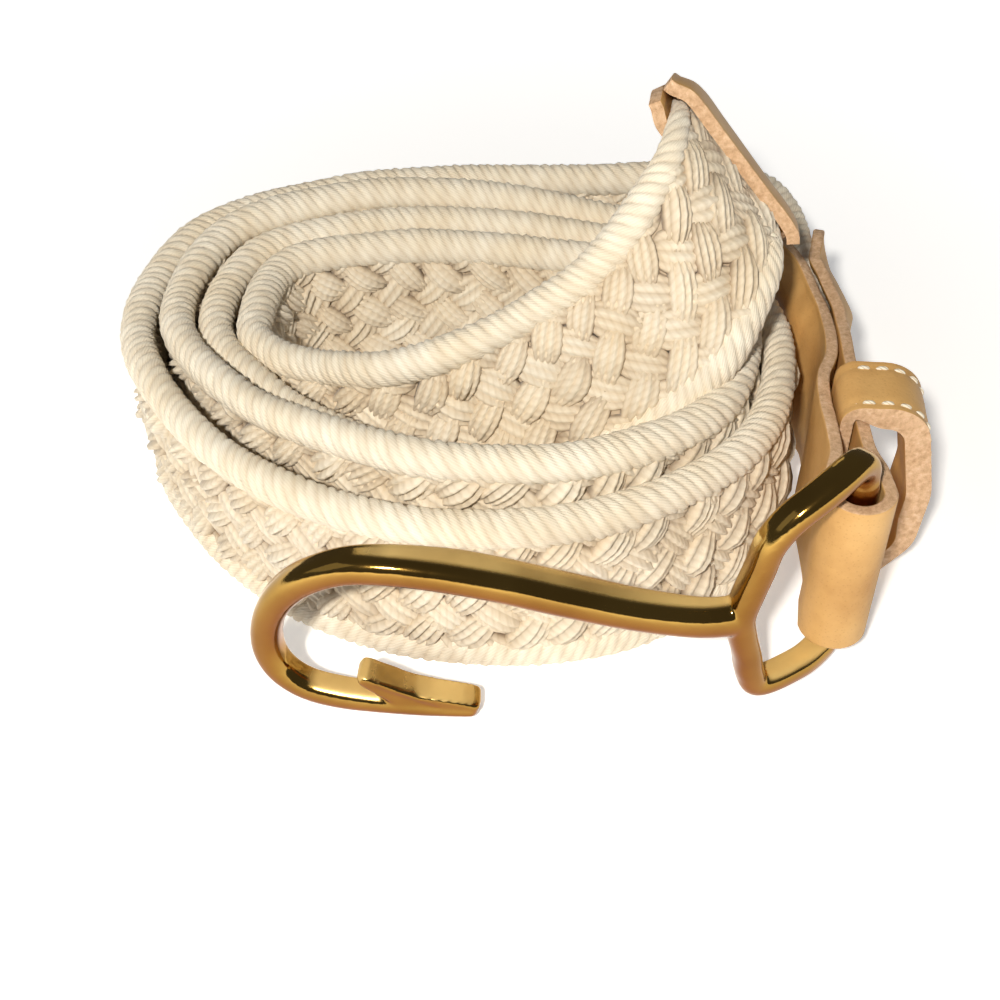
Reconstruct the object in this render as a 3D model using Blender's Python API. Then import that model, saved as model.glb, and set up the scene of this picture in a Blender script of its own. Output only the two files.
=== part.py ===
"""Rope belt: a flat braided cotton band coiled on its edge, leather ends and a brass fish-hook buckle.

Metres, +Z up, the floor at z = 0. Tables below are in millimetres."""

import math

import bpy
from mathutils import Vector

MM = 0.001
ORIGIN = Vector((2.3, 41.2, 0.0))  # the middle of the whole, on the floor

# Driving sizes, in millimetres.
BAND_WIDTH = 32.0
BAND_STEP = 7.5
LEATHER = 2.2
STRAP_WIDTH = 32.0
BAR_DIAMETER = 5.6
BRASS_DEPTH = 5.0
KEEPER_LEATHER = 2.0
KEEPER_WIDTH = 12.0
TAB_LEATHER = 2.2
TAB_LENGTH = 15.0

# The band's section, half of it: height from the middle as a share of half the width, half thickness.
BAND_SECTION = (
    ("edge flat", 1.0, 1.1),
    ("edge shoulder", 0.94, 2.35),
    ("edge cord", 0.82, 3.0),
    ("edge inside", 0.69, 2.75),
    ("flat of the braid", 0.6, 2.3),
)

# Where the band leaves the leather, before the first full turn: x, y, lean x, lean y, share of its width.
BAND_START = (
    ("sewn end", 59.1, 56.5, 0.0, 0.0, 0.76),
    ("in the leather", 58.5, 62.0, 0.0, 0.0, 0.78),
    ("leather edge", 57.5, 74.0, 0.0, 0.0, 1.0),
    ("corner foot", 56.4, 84.0, -0.03, 0.02, 1.0),
    ("corner", 52.2, 92.6, -0.06, 0.05, 1.0),
    ("corner end", 43.6, 96.6, -0.08, 0.08, 1.0),
    ("back straight", 31.0, 96.0, -0.1, 0.11, 1.0),
    ("back", 17.0, 95.2, -0.1, 0.11, 1.0),
)

# The coil about its middle: radius of each turn at each angle, counted from +X over the back.
COIL_MIDDLE = (-6.0, 47.0)
COIL_LEAN = (-0.1, 0.11)
COIL_RADIUS = (
    # angle, turn 1, turn 2, turn 3, turn 4
    (0, None, 56.1, 50.2, 43.8),
    (30, None, 51.0, 44.0, 36.6),
    (60, None, 41.6, 34.8, 27.0),
    (90, 47.8, 39.8, 33.2, 25.2),
    (120, 50.8, 43.6, 36.9, 29.0),
    (150, 58.8, 52.0, 45.2, 38.4),
    (180, 58.6, 51.2, 44.4, 37.4),
    (210, 52.6, 43.6, 36.9, None),
    (240, 50.0, 40.4, 34.2, None),
    (270, 50.4, 42.8, 36.8, None),
    (300, 53.8, 47.0, 41.2, None),
    (330, 58.2, 51.7, 46.0, None),
)
# How far each turn has ridden up off the floor at the same angles.
COIL_LIFT = (
    (0, None, 0.0, 4.6, 0.0),
    (30, None, 0.0, 0.0, 0.0),
    (60, None, 1.0, 0.0, 0.0),
    (90, 0.0, 2.0, 0.0, 0.0),
    (120, 0.0, 3.0, 0.0, 0.0),
    (150, 0.0, 2.5, 0.0, 0.0),
    (180, 0.0, 2.0, 0.0, 0.6),
    (210, 0.0, 3.5, 0.0, None),
    (240, 0.0, 6.0, 0.0, None),
    (270, 0.0, 7.4, 0.0, None),
    (300, 0.0, 6.6, 0.0, None),
    (330, 0.0, 5.0, 0.0, None),
)

# The last turn climbs out of the coil: x, y, z of the band's middle, then the way its top edge points.
FREE_END = (
    (-38.8, 38.6, 17.4, -0.10, 0.10, 0.99),
    (-32.4, 33.4, 19.2, -0.14, 0.14, 0.98),
    (-25.2, 29.4, 21.6, -0.20, 0.14, 0.97),
    (-16.6, 26.2, 24.4, -0.26, 0.13, 0.96),
    (-7.1, 24.4, 27.6, -0.32, 0.12, 0.94),
    (3.3, 24.3, 31.2, -0.40, 0.14, 0.91),
    (12.2, 25.6, 35.2, -0.47, 0.17, 0.87),
    (17.6, 27.9, 39.8, -0.47, 0.20, 0.84),
    (21.3, 29.0, 46.5, -0.50, 0.16, 0.78),
    (26.0, 30.2, 49.9, -0.62, 0.15, 0.77),
    (30.6, 36.2, 55.2, -0.70, 0.13, 0.72),
    (34.0, 42.8, 59.2, -0.70, 0.15, 0.73),
    (36.3, 49.6, 61.0, -0.65, 0.25, 0.75),
    (38.0, 56.2, 59.4, -0.62, 0.27, 0.76),
    (39.4, 62.4, 55.6, -0.60, 0.28, 0.76),
)

# The buckle strap, one leather piece folded round the bar. The middle between its two layers
# runs x, y; apart is from there to each layer's middle, edges the same along the top and bottom
# edges; bottom is the lower edge's height.
BAR_AXIS = (55.9, -2.6)
STRAP_PATH = (
    # x, y, apart, edges, bottom
    (56.0, 2.0, 3.9, 3.9, 6.4),
    (56.2, 6.5, 2.8, 2.8, 6.0),
    (56.4, 12.0, 2.6, 2.6, 5.4),
    (56.8, 20.5, 2.6, 2.6, 4.5),
    (57.6, 27.5, 2.6, 2.6, 3.7),
    (58.9, 34.5, 1.5, 1.5, 2.9),
    (59.6, 43.0, 1.3, 1.3, 2.0),
    (59.7, 49.5, 3.2, 1.3, 1.2),
    (59.4, 53.5, 4.6, 1.3, 0.9),
    (58.7, 60.5, 4.6, 1.4, 0.6),
    (57.9, 66.0, 4.6, 2.4, 0.4),
    (57.6, 71.0, 4.5, 4.2, 0.4),
    (57.4, 76.5, 4.45, 4.45, 0.4),
)
STRAP_END_ROUND = 4.0
FOLD_BOTTOM = 6.4
FOLD_PLAY = 0.75
# Across the strap: share of its height, how far it follows the edges rather than the middle.
STRAP_SECTION = ((0.0, 0.25), (0.1, 0.0), (0.47, 0.0), (0.84, 0.0), (0.9, 0.3), (0.95, 0.85), (1.0, 1.0))

# Where the keeper's middle is along y, and its loop round the strap's outer layer: out from between the
# layers, height, radius of the bend.
KEEPER_AT = 19.6
KEEPER_LOOP = (
    (0.0, 2.0, 1.6),
    (0.0, 39.8, 2.4),
    (11.8, 39.8, 4.5),
    (15.6, 22.0, 14.0),
    (14.8, 10.0, 8.0),
    (9.0, 1.6, 4.0),
)

# The buckle's middle surface seen from above: it bows away from the wearer.
BUCKLE_PLAN = (
    (55.9, -2.6),
    (50.2, -8.0),
    (42.2, -12.0),
    (31.0, -14.2),
    (12.0, -15.6),
    (-10.0, -15.8),
    (-27.0, -14.2),
    (-42.0, -11.0),
)
# The hook: along the bow from the bar, height, width of the rod.
HOOK = (
    (21.8, 20.4, 6.6),
    (28.5, 20.9, 6.0),
    (39.0, 23.7, 5.6),
    (51.4, 28.1, 5.6),
    (60.0, 31.1, 5.5),
    (69.0, 33.3, 5.4),
    (77.0, 34.1, 5.4),
    (83.5, 33.3, 5.4),
    (89.4, 30.0, 5.3),
    (93.8, 25.0, 5.2),
    (96.6, 18.8, 5.1),
    (97.4, 12.4, 5.0),
    (95.8, 7.2, 4.9),
    (91.9, 3.9, 4.8),
    (86.0, 2.6, 4.8),
    (78.0, 2.3, 4.4),
    (70.0, 2.0, 3.7),
    (63.8, 1.8, 3.1),
)
# The eye round the bar, from the foot of the shank over the top: along, height, width.
EYE = (
    (21.2, 20.8, 4.8),
    (20.4, 25.6, 4.7),
    (19.2, 31.0, 4.6),
    (18.0, 36.6, 4.6),
    (14.8, 41.0, 4.7),
    (9.6, 43.9, 4.8),
    (5.4, 45.3, 4.8),
    (2.6, 45.0, 4.8),
    (0.6, 43.6, 5.0),
    (0.0, 41.2, 5.4),
    (0.0, 39.0, 5.6),
    (0.0, 30.0, 5.6),
    (0.0, 14.0, 5.6),
    (0.0, 7.4, 5.6),
    (0.0, 6.0, 5.2),
    (0.6, 4.0, 4.7),
    (2.2, 2.8, 4.5),
    (5.0, 2.5, 4.6),
    (9.8, 2.5, 4.6),
    (16.2, 2.6, 4.7),
    (18.0, 6.2, 4.7),
    (19.0, 10.8, 4.7),
    (20.4, 16.0, 4.8),
)
# The barb: its outline along the bow and height.
BARB = (
    ("nose top", 80.8, 9.7),
    ("nose", 82.3, 9.0),
    ("nose under", 82.2, 7.8),
    ("root", 77.2, 3.4),
    ("root foot", 75.0, 1.4),
    ("end foot", 64.2, 0.8),
    ("end", 62.8, 1.9),
    ("end top", 63.4, 3.8),
    ("top", 73.0, 6.3),
)


def clear_scene():
    for thing in list(bpy.data.objects):
        bpy.data.objects.remove(thing)
    for shelf in list(bpy.data.collections):
        bpy.data.collections.remove(shelf)


def shelf_of(name, hidden=False):
    shelf = bpy.data.collections.new(name)
    bpy.context.scene.collection.children.link(shelf)
    shelf.hide_render = hidden
    return shelf


def spline(rows, step=None, closed=False, per=6):
    """Points along a smooth curve through rows of numbers; with step, evenly spaced by its first three."""
    rows = [Vector(row) for row in rows]
    n = len(rows)
    spans = n if closed else n - 1

    def at(i):
        if closed:
            return rows[i % n]
        if i < 0:
            return rows[0] * 2 - rows[1]
        if i >= n:
            return rows[-1] * 2 - rows[-2]
        return rows[i]

    fine = []
    for i in range(spans):
        a, b, c, d = at(i - 1), at(i), at(i + 1), at(i + 2)
        for j in range(per if step is None else 24):
            t = j / (per if step is None else 24)
            fine.append(
                (b * 2 + (c - a) * t + (a * 2 - b * 5 + c * 4 - d) * t * t + (b * 3 - a - c * 3 + d) * t * t * t) / 2
            )
    if not closed:
        fine.append(rows[-1].copy())
    if step is None:
        return fine
    reach = [0.0]
    for a, b in zip(fine, fine[1:]):
        reach.append(reach[-1] + (b - a).to_3d().length if len(a) == 2 else reach[-1] + (Vector(b[:3]) - Vector(a[:3])).length)
    count = max(2, round(reach[-1] / step))
    out, k = [], 0
    for i in range(count + 1):
        want = reach[-1] * i / count
        while k < len(reach) - 2 and reach[k + 1] < want:
            k += 1
        span = reach[k + 1] - reach[k]
        t = (want - reach[k]) / span if span else 0.0
        out.append(fine[k].lerp(fine[k + 1], t))
    return out


def solid(name, shelf, verts, faces):
    """A mesh object from millimetre points, its faces turned outwards."""
    mesh = bpy.data.meshes.new(name)
    mesh.from_pydata([(Vector(v) - ORIGIN) * MM for v in verts], [], faces)
    mesh.update()
    thing = bpy.data.objects.new(name, mesh)
    shelf.objects.link(thing)
    volume = 0.0
    for face in faces:
        a = Vector(verts[face[0]])
        for i in range(1, len(face) - 1):
            volume += a.dot(Vector(verts[face[i]]).cross(Vector(verts[face[i + 1]])))
    if volume < 0:
        mesh.flip_normals()
    return thing


def tube(name, shelf, rings, closed=False):
    """One closed solid through rings of points."""
    m = len(rings[0])
    verts = [p for ring in rings for p in ring]
    n = len(rings)
    faces = []
    for i in range(n if closed else n - 1):
        k = (i + 1) % n
        for j in range(m):
            q = (j + 1) % m
            faces.append((i * m + j, i * m + q, k * m + q, k * m + j))
    if not closed:
        faces.append(tuple(range(m - 1, -1, -1)))
        faces.append(tuple((n - 1) * m + j for j in range(m)))
    return solid(name, shelf, verts, faces)


def sheet(name, shelf, grid, thick):
    """A leather piece from a grid of points on its middle, given thickness."""
    rows, cols = len(grid), len(grid[0])
    front, back = [], []
    for i in range(rows):
        for j in range(cols):
            along = Vector(grid[min(i + 1, rows - 1)][j]) - Vector(grid[max(i - 1, 0)][j])
            across = Vector(grid[i][min(j + 1, cols - 1)]) - Vector(grid[i][max(j - 1, 0)])
            normal = along.cross(across).normalized() * (thick / 2)
            front.append(Vector(grid[i][j]) + normal)
            back.append(Vector(grid[i][j]) - normal)
    base = rows * cols
    faces = []
    for i in range(rows - 1):
        for j in range(cols - 1):
            a, b, c, d = i * cols + j, i * cols + j + 1, (i + 1) * cols + j + 1, (i + 1) * cols + j
            faces.append((a, b, c, d))
            faces.append((base + d, base + c, base + b, base + a))
    for i in range(rows - 1):
        a, d = i * cols, (i + 1) * cols
        faces.append((a, d, base + d, base + a))
        a, d = i * cols + cols - 1, (i + 1) * cols + cols - 1
        faces.append((a, base + a, base + d, d))
    for j in range(cols - 1):
        a, b = j, j + 1
        faces.append((a, base + a, base + b, b))
        a, b = (rows - 1) * cols + j, (rows - 1) * cols + j + 1
        faces.append((a, b, base + b, base + a))
    return solid(name, shelf, front + back, faces)


def band_stations():
    """x, y, z of the band's middle and the way its top edge points, all along the belt."""
    half = BAND_WIDTH / 2
    rows = [(x, y, half, lx, ly, share) for _, x, y, lx, ly, share in BAND_START]
    cx, cy = COIL_MIDDLE
    for turn in range(4):
        for radii, lifts in zip(COIL_RADIUS, COIL_LIFT):
            r, lift = radii[turn + 1], lifts[turn + 1]
            if r is None:
                continue
            a = math.radians(radii[0])
            rows.append((cx + r * math.cos(a), cy + r * math.sin(a), half + lift, *COIL_LEAN, 1.0))
    rows += list(FREE_END)
    return rows


def frames(stations):
    """Middle, direction, outward side and top-edge vector at each station."""
    out = []
    for i, row in enumerate(stations):
        here = Vector(row[:3])
        up = Vector((row[3], row[4], min(1.0, row[5])))
        here.z = max(here.z, up.z * BAND_WIDTH / 2)  # never under the floor
        before = Vector(stations[max(i - 1, 0)][:3])
        after = Vector(stations[min(i + 1, len(stations) - 1)][:3])
        along = (after - before).normalized()
        side = along.cross(up)
        side.z *= min(1.0, max(0.0, (1.0 - up.z) * 12))  # turns that stand on the floor keep a level edge
        out.append((here, along, side.normalized(), up))
    return out


def band_ring(here, side, up):
    half = BAND_WIDTH / 2
    right = [(h * half, t) for _, h, t in BAND_SECTION] + [(-h * half, t) for _, h, t in reversed(BAND_SECTION)]
    ring = [here + up * h + side * t for h, t in right]
    ring += [here + up * h - side * t for h, t in reversed(right)]
    return ring


def braided_band(shelf):
    path = frames(spline(band_stations(), step=BAND_STEP))
    tube("braided_band", shelf, [band_ring(here, side, up) for here, _, side, up in path])
    return path


def strap_layers():
    """Strap stations: middle, across, apart, apart at the edges, bottom."""
    rows = spline(STRAP_PATH, per=3)
    out = []
    for i, row in enumerate(rows):
        a, b = rows[max(i - 1, 0)], rows[min(i + 1, len(rows) - 1)]
        along = Vector((b[0] - a[0], b[1] - a[1], 0)).normalized()
        out.append((Vector((row[0], row[1], 0)), Vector((along.y, -along.x, 0)), row[2], row[3], row[4]))
    return out


def buckle_strap(shelf):
    layers = strap_layers()
    ring = BAR_DIAMETER / 2 + FOLD_PLAY + LEATHER / 2
    last = len(layers) - 1
    grid = []

    def layer(rows, way):
        for i, (mid, across, apart, edges, bottom) in rows:
            short = STRAP_END_ROUND * max(0.0, 1 - (last - i) / 2.0) * 0.5
            line = []
            for t, pinch in STRAP_SECTION:
                p = mid + across * way * (apart + (edges - apart) * pinch)
                line.append((p.x, p.y, bottom + short + (STRAP_WIDTH - 2 * short) * t))
            grid.append(line)

    layer(list(enumerate(layers))[::-1], -1)
    bar = Vector((BAR_AXIS[0], BAR_AXIS[1], 0))
    for k in range(11):
        a = math.radians(180 + 18 * k)
        p = bar + Vector((math.cos(a), math.sin(a), 0)) * ring
        grid.append([(p.x, p.y, FOLD_BOTTOM + STRAP_WIDTH * t) for t, _ in STRAP_SECTION])
    layer(list(enumerate(layers)), 1)
    sheet("buckle_strap", shelf, grid, LEATHER)


def rounded_loop(corners, steps=5):
    """A closed outline whose corners are arcs: rows of out, height, radius."""
    out = []
    n = len(corners)
    for i in range(n):
        here = Vector(corners[i][:2])
        to_a = (Vector(corners[i - 1][:2]) - here).normalized()
        to_b = (Vector(corners[(i + 1) % n][:2]) - here).normalized()
        half = math.acos(max(-1, min(1, to_a.dot(to_b)))) / 2
        radius = corners[i][2]
        reach = radius / math.tan(half)
        middle = here + (to_a + to_b).normalized() * (radius / math.sin(half))
        start = here + to_a * reach - middle
        turn = math.pi - 2 * half
        way = 1 if to_a.x * to_b.y - to_a.y * to_b.x < 0 else -1
        for k in range(steps + 1):
            a = way * turn * k / steps
            out.append(middle + Vector((start.x * math.cos(a) - start.y * math.sin(a), start.x * math.sin(a) + start.y * math.cos(a))))
    return out


def keeper(shelf):
    layers = strap_layers()
    mid = min(layers, key=lambda row: abs(row[0].y - KEEPER_AT))
    centre, across = mid[0], mid[1]
    along = Vector((-across.y, across.x, 0))
    loop = rounded_loop(KEEPER_LOOP)
    n = len(loop)
    rings = []
    for i in range(n):
        a, b = loop[i - 1], loop[(i + 1) % n]
        way = (b - a).normalized()
        normal = Vector((way.y, -way.x))
        ring = []
        for wide, deep in ((-1, -1), (-1, 1), (1, 1), (1, -1)):
            p = loop[i] + normal * deep * KEEPER_LEATHER / 2
            ring.append(centre + across * p.x + along * (wide * KEEPER_WIDTH / 2) + Vector((0, 0, p.y)))
        rings.append(ring)
    tube("keeper", shelf, rings, closed=True)


# The tab's section: height from the band's middle, distance of each layer's middle from it.
TAB_SECTION = (
    ("lower edge", -17.4, 3.4),
    ("lower side", -15.6, 4.4),
    ("lower cord", -11.4, 4.5),
    ("low", -7.6, 3.85),
    ("middle", 0.0, 3.8),
    ("high", 7.6, 3.85),
    ("upper cord", 11.4, 4.5),
    ("upper side", 14.6, 4.4),
    ("shoulder", 16.4, 3.4),
    ("closing", 17.9, 2.0),
    ("stitched edge", 19.2, 1.35),
)


def end_tab(shelf, path):
    reach = [0.0]
    for a, b in zip(path[::-1], path[::-1][1:]):
        reach.append(reach[-1] + (b[0] - a[0]).length)

    def at(back):
        """Frame this far back from the band's end; forward of it, straight on."""
        if back <= 0:
            here, along, side, up = path[-1]
            return here - along * back, along, side, up.normalized()
        for k in range(len(reach) - 1):
            if reach[k + 1] >= back:
                t = (back - reach[k]) / (reach[k + 1] - reach[k])
                a, b = path[-1 - k], path[-2 - k]
                return tuple(a[i].lerp(b[i], t) if i == 0 else a[i].lerp(b[i], t).normalized() for i in range(4))
        return path[0]

    backs = [TAB_LENGTH * (1 - i / 5.0) for i in range(6)]
    grid = []
    for back in backs:
        here, along, side, up = at(back)
        grid.append([here + up * w - side * n for _, w, n in TAB_SECTION])
    here, along, side, up = at(-0.6)
    for k in range(1, 8):
        a = math.pi * k / 8
        row = []
        for _, w, n in TAB_SECTION:
            row.append(here + up * w - side * (n * math.cos(a)) + along * (n * math.sin(a)))
        grid.append(row)
    for back in reversed(backs):
        here, along, side, up = at(back)
        grid.append([here + up * w + side * n for _, w, n in TAB_SECTION])
    sheet("end_tab", shelf, grid, TAB_LEATHER)


def bow_frames():
    fine = spline([(x, y, 0.0) for x, y in BUCKLE_PLAN], step=0.5)
    reach = [0.0]
    for a, b in zip(fine, fine[1:]):
        reach.append(reach[-1] + (b - a).length)
    return fine, reach


def on_bow(bow, along, height, out=0.0):
    """A point on the buckle: along the bow from the bar, height, and out towards its front."""
    fine, reach = bow
    if along <= 0:
        k, t = 0, along / (reach[1] - reach[0])
    else:
        k = min(range(len(reach) - 1), key=lambda i: abs((reach[i] + reach[i + 1]) / 2 - along))
        t = (along - reach[k]) / (reach[k + 1] - reach[k])
    here = fine[k].lerp(fine[k + 1], t)
    lo, hi = fine[max(k - 3, 0)], fine[min(k + 4, len(fine) - 1)]
    way = (hi - lo).normalized()
    front = Vector((-way.y, way.x, 0))
    if front.y > 0:
        front = -front
    return here + front * out + Vector((0, 0, height))


def rod_ring(bow, here, way, width, depth=BRASS_DEPTH, round_bar=False):
    """The brass rod's section: flat back and sides, domed front; round in the bar."""
    across = Vector((-way.y, way.x))
    h, d = width / 2, depth / 2
    if round_bar:
        shape = [(h * math.cos(math.radians(30 * k)), h * math.sin(math.radians(30 * k))) for k in range(12)]
    else:
        shape = [
            (h, 0.1 * d), (0.86 * h, 0.6 * d), (0.5 * h, 0.9 * d), (0.0, d), (-0.5 * h, 0.9 * d), (-0.86 * h, 0.6 * d),
            (-h, 0.1 * d), (-h, -0.8 * d), (-0.82 * h, -d), (0.0, -d), (0.82 * h, -d), (h, -0.8 * d),
        ]
    ring = []
    for a, out in shape:
        p = here + across * a
        ring.append(on_bow(bow, p.x, p.y, out))
    return ring


def rod(name, shelf, bow, rows, closed):
    fine = spline(rows, closed=closed, per=2)
    n = len(fine)
    rings = []
    for i, row in enumerate(fine):
        a = fine[(i - 1) % n] if closed else fine[max(i - 1, 0)]
        b = fine[(i + 1) % n] if closed else fine[min(i + 1, n - 1)]
        way = Vector((b[0] - a[0], b[1] - a[1])).normalized()
        bar = closed and abs(row[0]) < 0.25 and 5.8 < row[1] < 41.4
        rings.append(rod_ring(bow, Vector(row[:2]), way, row[2], round_bar=bar))
    return tube(name, shelf, rings, closed=closed)


def barb(name, shelf, bow):
    outline = [Vector((s, h)) for _, s, h in BARB]
    d = BRASS_DEPTH / 2
    centre = sum(outline, Vector((0, 0))) / len(outline)
    rings = []
    for out, shrink in ((-d, 0.0), (-0.2, 0.0), (0.55 * d, 0.25), (0.9 * d, 0.8)):
        rings.append([on_bow(bow, *(p + (centre - p).normalized() * shrink), out) for p in outline])
    return tube(name, shelf, rings)


def hook_buckle(shelf, helpers):
    bow = bow_frames()
    body = rod("hook_buckle", shelf, bow, HOOK, False)
    for piece in (rod("eye_ring", helpers, bow, EYE, True), barb("barb_block", helpers, bow)):
        piece.hide_render = True
        piece.display_type = "WIRE"
        join = body.modifiers.new("join " + piece.name, "BOOLEAN")
        join.operation = "UNION"
        join.solver = "EXACT"
        join.object = piece


clear_scene()
belt = shelf_of("rope_belt")
helpers = shelf_of("rope_belt_helpers", hidden=True)
band_path = braided_band(belt)
buckle_strap(belt)
keeper(belt)
end_tab(belt, band_path)
hook_buckle(belt, helpers)
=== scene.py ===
# %% [markdown]
# # A rope belt, from its frame to its finish
# The belt is a flat cotton braid with a thick wrapped cord along each edge, two stitched leather ends
# and a cast brass hook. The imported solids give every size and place, so this lesson first loads them,
# and then lays the braid, the leather and the brass over them. Tables are in millimetres.

# %% The frame
import math

import bpy
import numpy as np
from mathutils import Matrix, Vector


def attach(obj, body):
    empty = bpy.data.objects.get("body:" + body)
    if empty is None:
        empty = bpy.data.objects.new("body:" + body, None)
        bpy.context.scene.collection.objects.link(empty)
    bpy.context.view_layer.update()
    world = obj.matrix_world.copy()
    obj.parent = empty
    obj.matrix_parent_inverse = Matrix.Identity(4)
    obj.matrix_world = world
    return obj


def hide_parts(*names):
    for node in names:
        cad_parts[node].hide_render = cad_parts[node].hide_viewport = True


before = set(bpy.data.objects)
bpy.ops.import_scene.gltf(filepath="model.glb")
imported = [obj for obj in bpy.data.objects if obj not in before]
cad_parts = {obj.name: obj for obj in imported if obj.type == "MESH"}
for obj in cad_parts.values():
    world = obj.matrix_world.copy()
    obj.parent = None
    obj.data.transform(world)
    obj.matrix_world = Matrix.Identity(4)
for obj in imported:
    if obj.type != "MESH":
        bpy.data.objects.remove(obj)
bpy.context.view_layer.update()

MM = 0.001
ORIGIN = np.array((2.3, 41.2, 0.0))  # the tables' own point that lies at the middle of the whole, in mm

# %% [markdown]
# ## The camera
# The camera looks down at 45 degrees from the side where the buckle lies, as a person does who
# photographs a belt on a table. It stands close, so the near parts look larger than the far ones.

# %% Camera
CAMERA_AT = np.array((0.0, -174.39, 207.74))  # mm, in the tables' own drawing
CAMERA_TILT, CAMERA_LENS = 45.0, 56.16  # degrees up from straight down, and mm
eye = bpy.data.cameras.new("camera")
eye.sensor_width = 36.0
eye.lens = CAMERA_LENS
eye.clip_start = 0.01
camera = bpy.data.objects.new("camera", eye)
bpy.context.scene.collection.objects.link(camera)
camera.location = (CAMERA_AT - ORIGIN) * MM
camera.rotation_euler = (math.radians(CAMERA_TILT), 0.0, 0.0)
bpy.context.scene.camera = camera
bpy.context.scene.view_settings.view_transform = "Standard"
print("camera at", [round(c, 4) for c in camera.location])

# %% [markdown]
# ## Floor and light
# The floor is pale and plain, and glows a little, more the farther off it is, so that it stays white
# behind the belt without a lamp of its own. One small warm lamp stands close to the camera, a little to
# its left, so that faces turned away from the viewer fall dark. A dim sky and two soft lamps keep the
# shadows open. A large lamp alone would be kinder, but would flatten the weave.


# %% Node helpers
def shader_of(name):
    """A new material and its main shader."""
    look = bpy.data.materials.new(name)
    look.use_nodes = True
    return look, look.node_tree, look.node_tree.nodes["Principled BSDF"]


def node(tree, kind, **values):
    """A node with its named settings and inputs filled in."""
    made = tree.nodes.new(kind)
    for name, value in values.items():
        label = name.replace("_", " ").title()
        if name in made.bl_rna.properties:
            setattr(made, name, value)
        else:
            made.inputs[label].default_value = value
    return made


def ramp(tree, source, *stops):
    """A colour ramp over a grey source: pairs of place and colour."""
    made = tree.nodes.new("ShaderNodeValToRGB")
    while len(made.color_ramp.elements) < len(stops):
        made.color_ramp.elements.new(0.5)
    for element, (place, colour) in zip(made.color_ramp.elements, stops):
        element.position, element.color = place, (*colour, 1)
    tree.links.new(source, made.inputs["Fac"])
    return made.outputs["Color"]


def grey(value):
    """The same number for red, green and blue."""
    return (value, value, value)


def multiply(tree, amount, first, second):
    """The first colour darkened by the second, by a fixed amount."""
    made = tree.nodes.new("ShaderNodeMix")
    made.data_type, made.blend_type = "RGBA", "MULTIPLY"
    made.inputs[0].default_value = amount
    tree.links.new(first, made.inputs[6])
    tree.links.new(second, made.inputs[7])
    return made.outputs[2]


def bump(tree, height, strength, distance, under=None):
    """A bump from a grey height, over another bump where there is one."""
    made = node(tree, "ShaderNodeBump", strength=strength, distance=distance)
    tree.links.new(height, made.inputs["Height"])
    if under is not None:
        tree.links.new(under, made.inputs["Normal"])
    return made.outputs["Normal"]


def on_piece(tree, kind, **values):
    """A texture node that reads the piece's own coordinates."""
    made = node(tree, kind, **values)
    place = node(tree, "ShaderNodeTexCoord")
    tree.links.new(place.outputs["Object"], made.inputs["Vector"])
    return made


# %% Floor
bpy.ops.object.select_all(action="DESELECT")
bpy.ops.mesh.primitive_plane_add(size=6.0, location=(0.0, 0.0, -0.0002))
floor = bpy.context.object
floor.name = "floor"
paper, tree, shader = shader_of("floor")
shader.inputs["Base Color"].default_value = (*grey(0.93), 1)
shader.inputs["Roughness"].default_value = 0.9
shader.inputs["Emission Color"].default_value = (1, 1, 1, 1)
place = node(tree, "ShaderNodeTexCoord")
far = node(tree, "ShaderNodeVectorMath", operation="LENGTH")
tree.links.new(place.outputs["Object"], far.inputs[0])
glow = node(tree, "ShaderNodeMapRange", from_min=0.09, from_max=0.3, to_min=0.36, to_max=1.0)
tree.links.new(far.outputs["Value"], glow.inputs["Value"])
tree.links.new(glow.outputs["Result"], shader.inputs["Emission Strength"])
floor.data.materials.append(paper)
print("floor:", floor.name, "with", paper.name)


# %% Lamps and sky
def lamp(name, place, aim, watts, size, colour):
    """A square soft light at a place, turned to what it lights."""
    data = bpy.data.lights.new(name, "AREA")
    data.energy, data.size, data.color = watts, size, colour
    thing = bpy.data.objects.new(name, data)
    bpy.context.scene.collection.objects.link(thing)
    thing.location = place
    thing.rotation_euler = (Vector(aim) - Vector(place)).to_track_quat("-Z", "Y").to_euler()


lamp("key", (-0.085, -0.36, 0.38), (0.0, 0.0, 0.03), 2.75, 0.03, (1.0, 0.95, 0.87))
lamp("fill", (-0.6, -0.3, 0.5), (0.0, 0.0, 0.03), 0.25, 0.5, (0.92, 0.96, 1.0))
lamp("back", (-0.2, 1.0, 0.9), (0.0, 0.35, 0.0), 0.5, 0.4, (0.97, 0.98, 1.0))
world = bpy.data.worlds.new("sky")
bpy.context.scene.world = world
world.use_nodes = True
sky = world.node_tree.nodes["Background"]
sky.inputs["Color"].default_value = (0.95, 0.97, 1.0, 1)
sky.inputs["Strength"].default_value = 0.1

# %% [markdown]
# ## The band's route
# The band stands on its edge and winds three and a bit times round before its free end climbs out. Its
# route is a short table of places, each with the way its upper edge leans, and a smooth curve runs
# through them. Every thread of the braid is then placed by three numbers: how far along the band, how
# high on it, and how far out from its middle. Cloth simulation would settle a coil too, but no two runs
# of tables are as easy to mend as this.

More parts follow.
